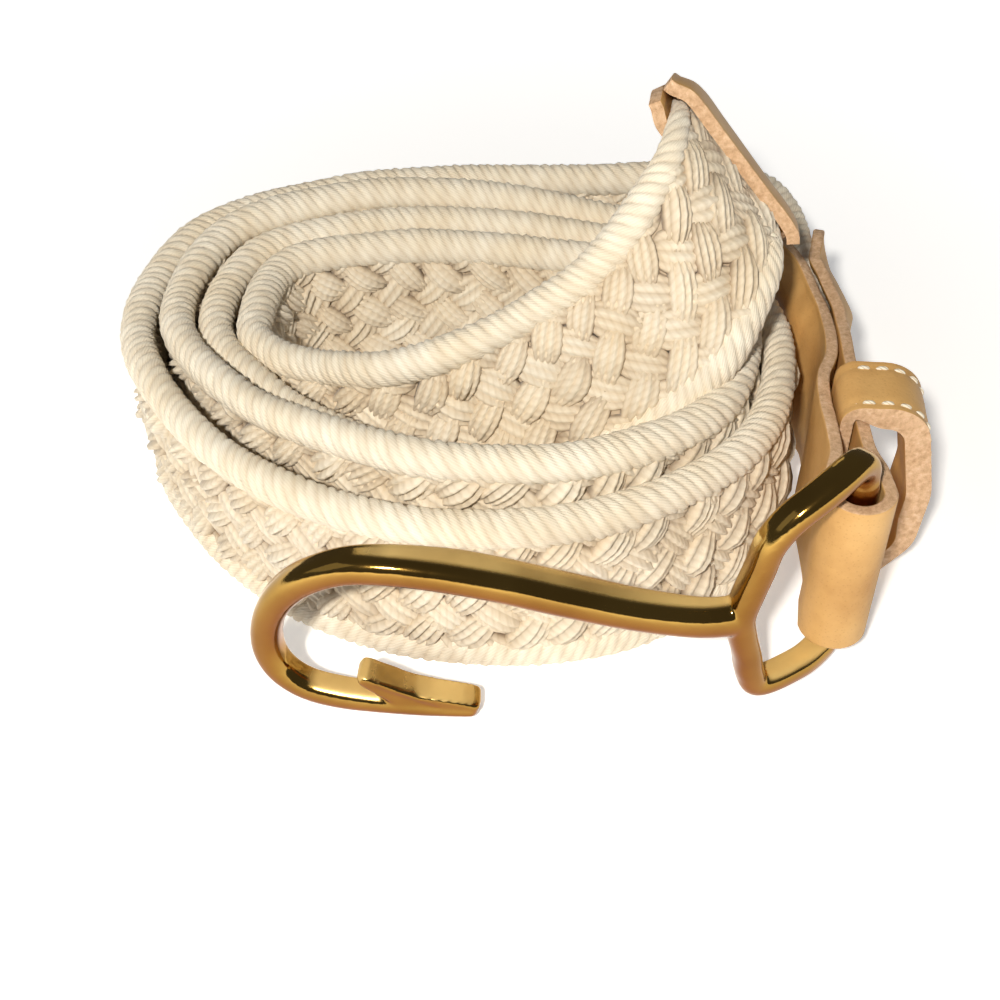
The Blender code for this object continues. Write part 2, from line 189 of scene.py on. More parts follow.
# %% Route tables
BAND_HALF = 16.0  # mm, half the band's width
COIL_LEAN = (-0.1, 0.11)  # how the upper edge leans in x and y, all round the coil
STRAP_LEAN = (-0.03, 0.09)  # the same where the second turn passes the leather strap
BAND_START = (
    # x, y, lean x, lean y, share of the band's width
    (59.1, 56.5, 0.0, 0.0, 0.76),
    (58.5, 62.0, 0.0, 0.0, 0.78),
    (57.5, 74.0, 0.0, 0.0, 1.0),
    (57.0, 84.5, -0.01, 0.01, 1.0),
    (54.0, 92.8, -0.04, 0.04, 1.0),
    (45.0, 97.2, -0.07, 0.07, 1.0),
    (31.0, 96.0, *COIL_LEAN, 1.0),
    (17.0, 95.2, *COIL_LEAN, 1.0),
)
COIL_MIDDLE = (-6.0, 47.0)
COIL = (
    # angle, then radius and lift off the floor for turns 1 to 4
    (0, None, 0, 56.1, 0.0, 50.2, 4.6, 43.8, 0.0),
    (30, None, 0, 51.0, 0.0, 44.0, 0.0, 36.6, 0.0),
    (60, None, 0, 41.6, 1.0, 34.8, 0.0, 27.0, 0.0),
    (90, 47.8, 0, 39.8, 2.0, 33.2, 0.0, 25.2, 0.0),
    (120, 50.8, 0, 43.6, 3.0, 36.9, 0.0, 29.0, 0.0),
    (150, 58.8, 0, 52.0, 2.5, 45.2, 0.0, 38.4, 0.0),
    (180, 58.6, 0, 51.2, 2.0, 44.4, 0.0, 37.4, 0.6),
    (210, 52.6, 0, 43.6, 3.5, 36.9, 0.0, None, 0),
    (240, 50.0, 0, 40.4, 6.0, 34.2, 0.0, None, 0),
    (270, 50.4, 0, 42.8, 7.4, 36.8, 0.0, None, 0),
    (300, 53.8, 0, 47.0, 6.6, 41.2, 0.0, None, 0),
    (330, 58.2, 0, 51.7, 5.0, 46.0, 0.0, None, 0),
)
FREE_END = (
    # x, y, z of the middle, then the way the upper edge points
    (-38.8, 38.6, 17.4, -0.10, 0.10, 0.99),
    (-32.4, 33.4, 19.2, -0.14, 0.14, 0.98),
    (-25.2, 29.4, 21.6, -0.20, 0.14, 0.97),
    (-16.6, 26.0, 24.5, -0.26, 0.13, 0.96),
    (-7.1, 24.6, 28.1, -0.31, 0.16, 0.94),
    (3.4, 25.5, 31.9, -0.40, 0.27, 0.88),
    (13.2, 27.0, 36.4, -0.53, 0.43, 0.76),
    (22.2, 29.4, 41.8, -0.65, 0.45, 0.67),
    (28.8, 33.0, 47.8, -0.70, 0.38, 0.66),
    (33.4, 37.8, 53.6, -0.72, 0.24, 0.68),
    (36.6, 42.8, 57.8, -0.70, 0.18, 0.71),
    (38.0, 48.9, 59.9, -0.65, 0.26, 0.74),
    (38.8, 55.9, 58.8, -0.63, 0.36, 0.70),
    (39.9, 62.4, 55.3, -0.62, 0.40, 0.69),
)


# %% A smooth curve through a table
def smooth(rows, per=24, closed=False):
    """Points on a smooth curve through every row of numbers."""
    p = np.array(rows, float)
    if closed:
        p = np.vstack((p[-1:], p, p[:2]))
    else:
        p = np.vstack((2 * p[0] - p[1], p, 2 * p[-1] - p[-2]))
    t = np.linspace(0, 1, per, endpoint=False)[:, None]
    spans = [
        (2 * b + (c - a) * t + (2 * a - 5 * b + 4 * c - d) * t**2 + (3 * b - a - 3 * c + d) * t**3) / 2
        for a, b, c, d in zip(p, p[1:], p[2:], p[3:])
    ]
    return np.vstack(spans if closed else spans + [p[-2:-1]])


def lengths(points):
    """How far along the curve each point is."""
    steps = np.linalg.norm(np.diff(points[:, :3], axis=0), axis=1)
    return np.concatenate(([0.0], np.cumsum(steps)))


def read(table, reach, where):
    """The table's columns at given lengths along it."""
    return np.stack([np.interp(where, reach, table[:, k]) for k in range(table.shape[1])], axis=-1)


# %% The band's frame at every half millimetre
STATION = 0.5  # mm between stations of the band
LOOK_AHEAD = 2.5  # mm each way over which its direction is taken


def unit(v):
    """Vectors of length one."""
    return v / np.linalg.norm(v, axis=-1, keepdims=True)


def band_route():
    """Length along the band, its middle, its upper edge's way, its outer side's way and its own way."""
    rows = [(x, y, BAND_HALF, lx, ly, share) for x, y, lx, ly, share in BAND_START]
    for turn in range(4):
        for row in COIL:
            radius, lift = row[1 + 2 * turn], row[2 + 2 * turn]
            if radius is not None:
                a = math.radians(row[0])
                x = COIL_MIDDLE[0] + radius * math.cos(a)
                y = COIL_MIDDLE[1] + radius * math.sin(a)
                lean = STRAP_LEAN if turn == 1 and row[0] < 45 else COIL_LEAN
                rows.append((x, y, BAND_HALF + lift, *lean, 1.0))
    fine = smooth(rows + list(FREE_END))
    reach = lengths(fine)
    along = np.arange(0.0, reach[-1], STATION)
    line = read(fine, reach, along)
    line[:, 5] = np.minimum(line[:, 5], 1.0)
    line[:, 2] = np.maximum(line[:, 2], line[:, 5] * BAND_HALF)  # never under the floor
    ahead = read(line[:, :3], along, along + LOOK_AHEAD)
    behind = read(line[:, :3], along, along - LOOK_AHEAD)
    way = unit(ahead - behind)
    out = np.cross(way, line[:, 3:6])
    out[:, 2] *= np.clip((1.0 - line[:, 5]) * 12, 0, 1)  # turns that stand on the floor keep a level edge
    return along, line[:, :3], line[:, 3:6], unit(out), way


ALONG, MIDDLE, UP, OUT, WAY = band_route()
BELT_LENGTH = ALONG[-1]
print("band length in mm:", round(BELT_LENGTH, 1))


def on_band(s, w, n):
    """Millimetre points of the band: s along it, w up from its middle, n out from its middle."""
    s, w, n = np.broadcast_arrays(s, w, n)
    return read(MIDDLE, ALONG, s) + read(UP, ALONG, s) * w[..., None] + read(OUT, ALONG, s) * n[..., None]


# %% [markdown]
# ## The finishes
# Cotton is matt, with a soft sheen, a twist drawn across each yarn and a slow change from cream to a
# pinker cream. Its core, the grooves of its cords and the low parts of its weave are darkened as painted
# shade. It could be a photographed cloth, but drawn from nodes it stays sharp at any distance.
# Leather has fine pores and darker handled places, and a paler, fuzzy cut edge. Thread is waxed and
# twisted. Brass is polished but not new, gold where it is rubbed; faces that turn downward are painted
# brown, a painted reflection of a brown table below.

# %% Cotton
cotton, tree, shader = shader_of("cotton")
shader.inputs["Roughness"].default_value = 0.92
shader.inputs["Sheen Weight"].default_value = 0.12
shader.inputs["Sheen Roughness"].default_value = 0.5
shader.inputs["Specular IOR Level"].default_value = 0.2
# This value, stored per point, darkens the core, the cords' grooves and the low parts of the weave:
# painted shade, with some random tone.
tone_and_painted_shade = node(tree, "ShaderNodeAttribute", attribute_name="tone_and_painted_shade").outputs["Fac"]
painted_shade_colour, mid, high = (0.30, 0.22, 0.15), (0.68, 0.59, 0.46), (0.90, 0.85, 0.73)
shade = ramp(tree, tone_and_painted_shade, (0.0, painted_shade_colour), (0.42, mid), (1.0, high))
cloud = on_piece(tree, "ShaderNodeTexNoise", scale=90.0, detail=3.0)
tones = ramp(tree, cloud.outputs["Fac"], (0.35, (0.93, 0.88, 0.80)), (0.65, grey(1.0)))
mixed = multiply(tree, 0.8, shade, tones)
twist = node(tree, "ShaderNodeTexWave", scale=1.0, distortion=1.2, detail=2.0, detail_scale=1.5)
twist.wave_type, twist.bands_direction = "BANDS", "DIAGONAL"
tree.links.new(node(tree, "ShaderNodeUVMap", uv_map="yarn").outputs["UV"], twist.inputs["Vector"])
threads = ramp(tree, twist.outputs["Fac"], (0.0, (0.88, 0.85, 0.80)), (0.5, grey(1.0)))
tree.links.new(multiply(tree, 0.6, mixed, threads), shader.inputs["Base Color"])
fluff = on_piece(tree, "ShaderNodeTexNoise", scale=2600.0, detail=3.0)
strand_bump = bump(tree, twist.outputs["Fac"], 0.3, 0.0002)
fluff_bump = bump(tree, fluff.outputs["Fac"], 0.35, 0.00012, strand_bump)
tree.links.new(fluff_bump, shader.inputs["Normal"])

# %% Leather
leather, tree, shader = shader_of("leather")
shader.inputs["Roughness"].default_value = 0.55
shader.inputs["Specular IOR Level"].default_value = 0.35
hide = on_piece(tree, "ShaderNodeTexNoise", scale=55.0, detail=5.0, roughness=0.6)
handled, tan, fresh = (0.46, 0.24, 0.07), (0.61, 0.35, 0.12), (0.71, 0.44, 0.17)
base = ramp(tree, hide.outputs["Fac"], (0.25, handled), (0.5, tan), (0.75, fresh))
pores = on_piece(tree, "ShaderNodeTexVoronoi", scale=1500.0)
dots = ramp(tree, pores.outputs["Distance"], (0.05, (0.72, 0.66, 0.6)), (0.3, grey(1.0)))
tree.links.new(multiply(tree, 0.5, base, dots), shader.inputs["Base Color"])
creases = on_piece(tree, "ShaderNodeTexNoise", scale=420.0, detail=6.0, roughness=0.65)
crease_bump = bump(tree, creases.outputs["Fac"], 0.35, 0.0002)
pore_bump = bump(tree, pores.outputs["Distance"], 0.25, 0.0001, crease_bump)
tree.links.new(pore_bump, shader.inputs["Normal"])

# %% The leather's cut edge
cut_edge, tree, shader = shader_of("leather_cut_edge")
shader.inputs["Roughness"].default_value = 0.95
fibres = on_piece(tree, "ShaderNodeTexNoise", scale=900.0, detail=5.0, roughness=0.7)
rough, fibre, pale = (0.46, 0.27, 0.14), (0.68, 0.45, 0.27), (0.80, 0.60, 0.41)
edge_tones = ramp(tree, fibres.outputs["Fac"], (0.3, rough), (0.55, fibre), (0.75, pale))
tree.links.new(edge_tones, shader.inputs["Base Color"])
tree.links.new(bump(tree, fibres.outputs["Fac"], 0.8, 0.0005), shader.inputs["Normal"])

# %% Thread
thread, tree, shader = shader_of("thread")
shader.inputs["Roughness"].default_value = 0.6
ply = on_piece(tree, "ShaderNodeTexWave", scale=700.0, distortion=0.5)
ply.bands_direction = "DIAGONAL"
wax = ramp(tree, ply.outputs["Fac"], (0.0, (0.62, 0.52, 0.36)), (0.6, (0.88, 0.82, 0.68)))
tree.links.new(wax, shader.inputs["Base Color"])
tree.links.new(bump(tree, ply.outputs["Fac"], 0.5, 0.0001), shader.inputs["Normal"])

# %% Brass
brass, tree, shader = shader_of("brass")
rub_and_painted_reflection = node(tree, "ShaderNodeAttribute", attribute_name="rub_and_painted_reflection").outputs["Fac"]
# Brown is a painted reflection on faces that turn downward; gold is the rubbed flat.
painted_reflection_brown, yellow, gold = (0.27, 0.10, 0.02), (0.42, 0.25, 0.06), (0.80, 0.56, 0.20)
metal = ramp(tree, rub_and_painted_reflection, (0.0, painted_reflection_brown), (0.5, yellow), (1.0, gold))
tree.links.new(ramp(tree, rub_and_painted_reflection, (0.6, grey(1.0)), (1.0, grey(0.3))), shader.inputs["Metallic"])
age = on_piece(tree, "ShaderNodeTexNoise", scale=70.0, detail=4.0)
spots = ramp(tree, age.outputs["Fac"], (0.3, (0.72, 0.66, 0.60)), (0.6, grey(1.0)))
tree.links.new(multiply(tree, 0.8, metal, spots), shader.inputs["Base Color"])
wear = on_piece(tree, "ShaderNodeTexNoise", scale=260.0, detail=5.0, roughness=0.7)
gloss = ramp(tree, rub_and_painted_reflection, (0.0, grey(0.25)), (0.5, grey(0.12)), (0.6, grey(0.2)), (1.0, grey(0.48)))
haze = ramp(tree, wear.outputs["Fac"], (0.35, grey(0.8)), (0.7, grey(1.0)))
tree.links.new(multiply(tree, 1.0, gloss, haze), shader.inputs["Roughness"])
tree.links.new(bump(tree, wear.outputs["Fac"], 0.12, 0.0003), shader.inputs["Normal"])
print("finishes:", [m.name for m in (cotton, leather, cut_edge, thread, brass)])


# %% [markdown]
# ## Helpers for shaping a grid
# Leather and cords start as Blender's own grid, as a cutter starts from a flat hide. The grid's points
# are moved to their places, its rim is closed where it meets itself, and modifiers give it thickness.

# %% Grid helpers
def settle(points):
    """Millimetre points of the shared drawing, as metres in the frame."""
    return (np.asarray(points, float) - ORIGIN) * MM


def add_grid(name, points, looks):
    """A grid primitive of rows by columns, with its points moved to their places."""
    rows, cols = points.shape[:2]
    bpy.ops.object.select_all(action="DESELECT")
    bpy.ops.mesh.primitive_grid_add(x_subdivisions=cols - 1, y_subdivisions=rows - 1, size=1.0)
    thing = bpy.context.object
    thing.name = thing.data.name = name
    thing.data.vertices.foreach_set("co", settle(points).astype(np.float32).ravel())
    for look in looks:
        thing.data.materials.append(look)
    thing.data.update()
    return thing


def apply_all(thing):
    """Every modifier applied, in order."""
    bpy.ops.object.select_all(action="DESELECT")
    thing.select_set(True)
    bpy.context.view_layer.objects.active = thing
    for step in list(thing.modifiers):
        bpy.ops.object.modifier_apply(modifier=step.name)


def in_edit_mode(thing, *steps):
    """Edit-mode steps on all of a piece."""
    bpy.ops.object.select_all(action="DESELECT")
    thing.select_set(True)
    bpy.context.view_layer.objects.active = thing
    bpy.ops.object.mode_set(mode="EDIT")
    bpy.ops.mesh.select_all(action="SELECT")
    for step in steps:
        step()
    bpy.ops.object.mode_set(mode="OBJECT")


def close_up(thing, merge=1e-6, ends=True):
    """The seam merged, open ends filled, and faces turned outwards."""
    steps = [lambda: bpy.ops.mesh.remove_doubles(threshold=merge)]
    if ends:
        steps.append(lambda: bpy.ops.mesh.fill_holes(sides=0))
    steps.append(lambda: bpy.ops.mesh.normals_make_consistent(inside=False))
    in_edit_mode(thing, *steps)


def new_mesh(name, points, faces, look):
    """A piece from millimetre points and faces."""
    mesh = bpy.data.meshes.new(name)
    mesh.from_pydata(settle(points).tolist(), [], faces)
    mesh.update()
    mesh.materials.append(look)
    thing = bpy.data.objects.new(name, mesh)
    bpy.context.scene.collection.objects.link(thing)
    return thing


def finish_piece(thing, body, slot, *stands_for):
    """Smooth shading, and its place in the assembly."""
    for face in thing.data.polygons:
        face.use_smooth = True
    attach(thing, body)
    if stands_for:
        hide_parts(*stands_for)
    thing.data.calc_loop_triangles()
    print(thing.name, len(thing.data.loop_triangles), "triangles")


def paint(thing, tones_and_painted_shade, uvs):
    """A grey value per point, of tone with painted shade, and a UV map per point."""
    layer = thing.data.attributes.new("tone_and_painted_shade", "FLOAT", "POINT")
    layer.data.foreach_set("value", np.asarray(tones_and_painted_shade, np.float32).ravel())
    chart = thing.data.uv_layers.new(name="yarn")
    corners = np.zeros(len(thing.data.loops), np.int32)
    thing.data.loops.foreach_get("vertex_index", corners)
    chart.data.foreach_set("uv", np.asarray(uvs, np.float32).reshape(-1, 2)[corners].ravel())


# %% [markdown]
# ## The braid's core
# Under the woven strands a plain inner web fills the band, so that no light comes through the small
# gaps between them. Only its colour shows, deep in the weave, and it is coloured dark as painted shade.

# %% Core
CORE = ((-12.0, 0.6), (-8.0, 0.8), (0.0, 0.8), (8.0, 0.8), (12.0, 0.6))  # height, half thickness
CORE_STEP = 1.5  # mm between its rings
# The core's dark tone is painted shade.
CORE_PAINTED_SHADE = 0.28


def braid_core():
    s = np.arange(0.0, BELT_LENGTH, CORE_STEP)
    ring = list(CORE) + [(w, -n) for w, n in reversed(CORE)]
    ring.append(ring[0])
    points = np.stack([on_band(s, np.full_like(s, w), np.full_like(s, n)) for w, n in ring], axis=1)
    thing = add_grid("braid_core", points, [cotton])
    close_up(thing)
    count = len(thing.data.vertices)
    paint(thing, np.full(count, CORE_PAINTED_SHADE), np.zeros((count, 2)))
    finish_piece(thing, "belt", "cotton")


braid_core()

# %% [markdown]
# ## The edge cords
# Along each edge the outer yarns wrap round a thick roll and bite into it, so that the roll shows a
# slanting ridge every two millimetres. A plain tube with a bump would lose the scalloped outline that
# is so plain against the floor, so the ridges are real: the tube's radius rises and falls with them.

# %% Edge cords
RIDGE = 1.9  # mm from one ridge to the next along the cord
RIDGE_DEPTH = 0.46
RIDGE_SLANT = 5  # ridges crossed in one turn round the cord
ROWS = 7  # grid rows to a ridge
CORD_RADIUS = 3.15
CORD_HEIGHT = 12.9  # of its middle, from the band's middle
PRESSED_FROM, PRESSED_OVER = 32.0, 22.0  # mm before the free end where the tab begins to press the braid


def closing(s):
    """How far the band has been pressed together for the leather tab, 0 to 1."""
    return np.clip((s - BELT_LENGTH + PRESSED_FROM) / PRESSED_OVER, 0, 1) ** 1.3


def edge_cord(name, side, *stands_for):
    """The roll along one edge; the grid's rows slant with the ridges, so that each stays sharp."""
    spare = RIDGE_SLANT * ROWS
    row = np.arange(-spare, int(BELT_LENGTH / RIDGE * ROWS) + spare)[:, None]
    around = np.linspace(0, 2 * np.pi, 20)[None, :]
    s = np.clip((row / ROWS + RIDGE_SLANT * around / (2 * np.pi) * side) * RIDGE, 1.0, BELT_LENGTH)
    wander = 0.35 * np.sin(s / 7.3) + 0.25 * np.sin(s / 3.1 + 1.0)
    phase = row / ROWS + 0.8 * wander
    part = phase - np.floor(phase)
    ridge = np.sqrt(np.clip(1 - (2 * part - 1) ** 2, 0, 1))
    size = 0.13 * np.sin(s * 2.9 + np.sin(around)) * np.sin(s * 0.83)
    radius = CORD_RADIUS - RIDGE_DEPTH * (1 - ridge) + size + 0.2 * wander
    radius = radius * (1 - 0.5 * closing(s))
    w = side * CORD_HEIGHT + radius * np.cos(around)
    n = radius * np.sin(around) * 0.98
    thing = add_grid(name, on_band(s, w, n), [cotton])
    # Grooves between the ridges are painted darker, as painted shade; the sine adds random tone.
    tones_and_painted_shade = 0.46 + 0.38 * ridge + 0.1 * np.sin(s * 1.37 + np.cos(around))
    uvs = np.stack((around * CORD_RADIUS * 0.9 * side + 0 * s, phase * -1.3), axis=-1)
    paint(thing, tones_and_painted_shade.ravel(), uvs)
    close_up(thing, merge=1e-7)
    finish_piece(thing, "belt", "cotton", *stands_for)


edge_cord("upper_edge_cord", 1, "braided_band")
edge_cord("lower_edge_cord", -1)

# %% [markdown]
# ## The woven strands
# Between the cords the braid shows short bundles of four yarns, which come up between their
# neighbours, lie over one crossing and dive again. Bundles that lean one way fill every second column,
# and those that lean the other way fill the columns between. One bundle is modelled once from a grid,
# and copies of it are bent onto the band, each a little different, as hand-fed yarn is.

# %% One bundle
BUNDLE_LENGTH, BUNDLE_WIDTH = 12.2, 6.2
ACROSS, ALONG_IT = 13, 7  # points over the top of a bundle, and along it
TIP_WIDTH = 0.22  # share of the width at its two tips
YARNS = 4


def one_bundle():
    """A leaf-shaped bundle of yarns: places along and across it, each from -1 to 1, and height."""
    a = np.linspace(-1, 1, ALONG_IT)[:, None]
    b = np.linspace(-1, 1, ACROSS)[None, :]
    lobe = np.abs(np.sin((b + 1) * np.pi * YARNS / 2)) ** 0.7
    arch = np.cos(a * np.pi / 2 * 0.97) ** 0.85
    height = arch * (0.5 + 0.5 * lobe) * np.clip(1 - 0.5 * b**2, 0, 1)
    height[:, :1] = height[:, -1:] = 0.0
    top = np.stack((a + 0 * b, b * (TIP_WIDTH + (1 - TIP_WIDTH) * arch**0.8), height), axis=-1)
    below = np.stack((a, 0 * a, 0 * a - 0.4), axis=-1)[:, None, 0]
    return np.concatenate((top, below), axis=1)


def bundle_faces():
    """Faces of one closed bundle, and for each corner the place along and across its own yarn."""
    ring = ACROSS + 1
    each = (ACROSS - 1) // YARNS  # faces over one yarn
    sides, chart = [], []
    for i in range(ALONG_IT - 1):
        for j in range(ring):
            k = (j + 1) % ring
            sides.append((i * ring + j, i * ring + k, (i + 1) * ring + k, (i + 1) * ring + j))
            low = (j % each) / each if j < ACROSS - 1 else 0.0
            high = low + 1 / each if j < ACROSS - 1 else 0.0
            chart += [(i, low), (i, high), (i + 1, high), (i + 1, low)]
    first = tuple(range(ring - 1, -1, -1))
    last = tuple((ALONG_IT - 1) * ring + j for j in range(ring))
    chart += [(0, 0)] * (2 * ring)
    return np.array(sides), (first, last), np.array(chart, float)


SHAPE = one_bundle()
SIDES, CAPS, CHART = bundle_faces()
CHART = CHART * (BUNDLE_LENGTH / (ALONG_IT - 1) * 0.42, 0.62)  # twists along and across a yarn
print("one bundle has", len(SIDES) + len(CAPS), "faces")


# %% All the bundles of one face of the band
COLUMN, COLUMNS = 4.05, range(-3, 4)  # mm between columns of bundles, from the middle
PITCH = 7.9  # mm between bundles in a column
STRAND_LEAN, LEAN_PLAY = 44.0, 11.0  # degrees
WEB = 0.6  # mm from the band's middle to where the bundles rise
BESIDE_CORD = 9.6  # mm from the band's middle where they dip to pass under the cords
WEAVE_START, WEAVE_STOP = 14.0, BELT_LENGTH - 2


def woven_face(name, out, seed):
    """All the bundles of the outer face, out = 1, or the inner face, out = -1."""
    dice = np.random.default_rng(seed)
    verts, faces, tones_and_painted_shade, charts = [], [], [], []
    points_each = SHAPE.shape[0] * SHAPE.shape[1]
    for column in COLUMNS:
        leans = 1 if column % 2 == 0 else -1
        short = 0.8 if abs(column) == max(COLUMNS) else 1.0
        wide, high = (0.95, 1.15) if leans > 0 else (1.2, 0.85)
        for k in range(int(WEAVE_START / PITCH), int(WEAVE_STOP / PITCH)):
            s0 = (k + (0.0 if leans > 0 else 0.5)) * PITCH + dice.uniform(-0.8, 0.8)
            w0 = column * COLUMN + dice.uniform(-0.5, 0.5)
            a = math.radians(leans * (STRAND_LEAN + dice.uniform(-LEAN_PLAY, LEAN_PLAY)))
            reach = BUNDLE_LENGTH / 2 * dice.uniform(0.9, 1.1) * short
            half = BUNDLE_WIDTH / 2 * dice.uniform(0.92, 1.08) * wide
            rise = dice.uniform(2.2, 2.9) * high * (1 - 0.45 * closing(s0))
            curl, tip = dice.uniform(-0.9, 0.9), dice.uniform(-0.4, 0.4)
            yarns = 1 + 0.2 * np.sin(SHAPE[..., 1] * 3.1 + dice.uniform(0, 6))
            x = SHAPE[..., 0] * reach * (1 + 0.08 * np.cos(SHAPE[..., 1] * 4 + dice.uniform(0, 6)))
            y = SHAPE[..., 1] * half + curl * (1 - SHAPE[..., 0] ** 2)
            z = WEB + SHAPE[..., 2] * rise * yarns * (1 + tip * SHAPE[..., 0])
            s = s0 + x * math.cos(a) - y * math.sin(a)
            w = w0 + x * math.sin(a) + y * math.cos(a)
            z = z - np.clip((np.abs(w) - BESIDE_CORD) / 2.0, 0, 1) * 0.4
            points = on_band(np.clip(s, 0.5, BELT_LENGTH - 0.5), np.clip(w, -13.2, 13.2), out * z)
            base = len(verts) * points_each
            faces.extend((SIDES + base)[:, ::out].tolist())
            faces.extend([tuple(base + v for v in cap)[::out] for cap in CAPS])
            verts.append(points.reshape(-1, 3))
            # Each bundle is painted darker towards its low edges and tips, as painted shade between
            # bundles; the dice add random tone.
            tones_and_painted_shade.append((0.05 + 0.72 * SHAPE[..., 2] + dice.uniform(-0.1, 0.1)).ravel())
            chart = CHART + dice.uniform(0, 5, 2)
            corners = chart[: SIDES.size].reshape(-1, 4, 2)[:, ::out].reshape(-1, 2)
            charts.append(np.vstack((corners, chart[SIDES.size :])))
    thing = new_mesh(name, np.vstack(verts), faces, cotton)
    layer = thing.data.attributes.new("tone_and_painted_shade", "FLOAT", "POINT")
    layer.data.foreach_set("value", np.concatenate(tones_and_painted_shade).astype(np.float32))
    layer = thing.data.uv_layers.new(name="yarn")
    layer.data.foreach_set("uv", np.vstack(charts).astype(np.float32).ravel())
    finish_piece(thing, "belt", "cotton")


woven_face("woven_strands_outside", 1, seed=7)
woven_face("woven_strands_inside", -1, seed=8)

# %% [markdown]
# ## The buckle strap
# One strip of vegetable-tanned leather folds round the brass bar. Its two halves close on each other,
# open again over the start of the braid, and are sewn along their edges. It is cut from a grid of the
# strip's middle, and Solidify gives it thickness and a separate finish on the cut rim. A box bent with
# modifiers would fold as well, but its waves and its rounded ends would be harder to place.

# %% Strap tables
BAR, BAR_DIAMETER = (55.9, -2.6), 5.6
FOLD_PLAY, FOLD_BOTTOM = 0.75, 6.4  # mm between bar and leather, and the fold's height off the floor
STRAP = (
    # x, y of the middle between the halves, half the gap, the same at the edges, lower edge
    (56.0, 2.0, 3.9, 3.9, 6.4),
    (56.2, 6.5, 2.8, 2.8, 6.0),
    (56.4, 12.0, 2.6, 2.6, 5.4),
    (56.8, 20.5, 2.6, 2.6, 4.5),
    (57.6, 27.5, 2.6, 2.6, 3.7),
    (58.9, 34.5, 1.5, 1.5, 2.9),
    (59.6, 43.0, 1.3, 1.3, 2.0),
    (59.7, 49.5, 3.2, 1.3, 1.2),
    (59.4, 53.5, 4.6, 1.3, 0.9),
    (58.7, 60.5, 4.6, 1.4, 0.6),
    (57.9, 66.0, 4.6, 1.5, 0.4),
    (57.6, 71.0, 4.5, 3.0, 0.4),
    (57.4, 76.5, 4.45, 4.45, 0.4),
)
STRAP_WIDTH, LEATHER = 32.0, 2.2
# how far each height, as a share of the width, follows the sewn edges and not the middle
PINCH = ((0.0, 0.25), (0.1, 0.0), (0.84, 0.0), (0.9, 0.3), (0.95, 0.85), (1.0, 1.0))
LOW_HEIGHTS = (0.0, 0.02, 0.06, 0.12, 0.2, 0.3, 0.4, 0.5)
HIGH_HEIGHTS = (0.6, 0.7, 0.78, 0.84, 0.88, 0.92, 0.95, 0.98, 1.0)
HEIGHTS = np.array(LOW_HEIGHTS + HIGH_HEIGHTS)


def strap_rows():
    """The strap's table made smooth, and its outward side at each row."""
    fine = smooth(STRAP, per=8)
    way = unit(np.gradient(fine[:, :2], axis=0))
    return fine, np.stack((way[:, 1], -way[:, 0]), axis=1)


# %% Thickness and cut rims
def cut_from_hide(thing, thick, soft, even=False, group=""):
    """Leather's thickness, its own finish on the cut rim, and softened edges."""
    layer = thing.modifiers.new("thick", "SOLIDIFY")
    layer.thickness, layer.offset = thick * MM, 0.0
    layer.use_even_offset, layer.vertex_group = even, group
    layer.material_offset_rim = 1
    edge = thing.modifiers.new("soft edge", "BEVEL")
    edge.width, edge.segments, edge.limit_method = soft * MM, 2, "ANGLE"
    edge.angle_limit = math.radians(50)
    apply_all(thing)


# %% Strap
FOLD_STEPS = 24


def buckle_strap():
    fine, side = strap_rows()
    pinch = np.interp(HEIGHTS, [t for t, _ in PINCH], [p for _, p in PINCH])
    last = len(fine) - 1
    grid = []

    def half_of_strap(order, way):
        for i in order:
            x, y, gap, edge_gap, bottom = fine[i]
            round_off = max(0.0, 1 - (last - i) / 9.0) ** 2 * 1.6
            ripple = 0.12 * math.sin(y / 4.1 + way) + 0.1 * math.sin(y / 1.9)
            line = []
            for t, p in zip(HEIGHTS, pinch):
                out = way * (gap + (edge_gap - gap) * p) + 0.1 * math.sin(t * 7 + y / 6.0)
                z = bottom + round_off + (STRAP_WIDTH - 2 * round_off) * t + ripple * (1 if t > 0.9 else 0)
                line.append((x + side[i][0] * out, y + side[i][1] * out, z))
            grid.append(line)

    half_of_strap(range(last, -1, -1), -1)
    radius = BAR_DIAMETER / 2 + FOLD_PLAY + LEATHER / 2
    for k in range(1, FOLD_STEPS):
        a = math.pi + math.pi * k / FOLD_STEPS
        x, y = BAR[0] + radius * math.cos(a), BAR[1] + radius * math.sin(a)
        grid.append([(x, y, FOLD_BOTTOM + STRAP_WIDTH * t) for t in HEIGHTS])
    half_of_strap(range(last + 1), 1)
    thing = add_grid("leather_strap", np.array(grid), [leather, cut_edge])
    cut_from_hide(thing, LEATHER, 0.4, even=True)
    finish_piece(thing, "belt", "leather", "buckle_strap")


buckle_strap()

# %% [markdown]
# ## The keeper
# A narrower strip, stitched along both edges, makes the loop that holds the belt's free end flat. Its
# lower corner hangs loose and round, and its top lies square over the strap. Its outline is drawn as
# straight runs with rounded corners, as a maker bends it round a block, and is then swept.

# %% Keeper tables
KEEPER_AT, KEEPER_WIDTH, KEEPER_LEATHER = 19.6, 12.0, 2.0
KEEPER_DOUBLE = 4.2  # the top and outer side are two layers, glued and stitched
KEEPER_INSIDE = (7.0, 20.0)  # a point inside the loop: out, height
KEEPER_SEAM = 4.35  # mm from its middle to each row of stitches
KEEPER_LOOP = (
    # out from between the strap's halves, height, radius of the bend
    (0.0, 2.0, 1.6),
    (0.0, 39.8, 2.4),
    (12.0, 39.8, 6.5),
    (15.6, 22.0, 14.0),
    (14.8, 10.0, 8.0),
    (9.0, 1.6, 4.0),
)


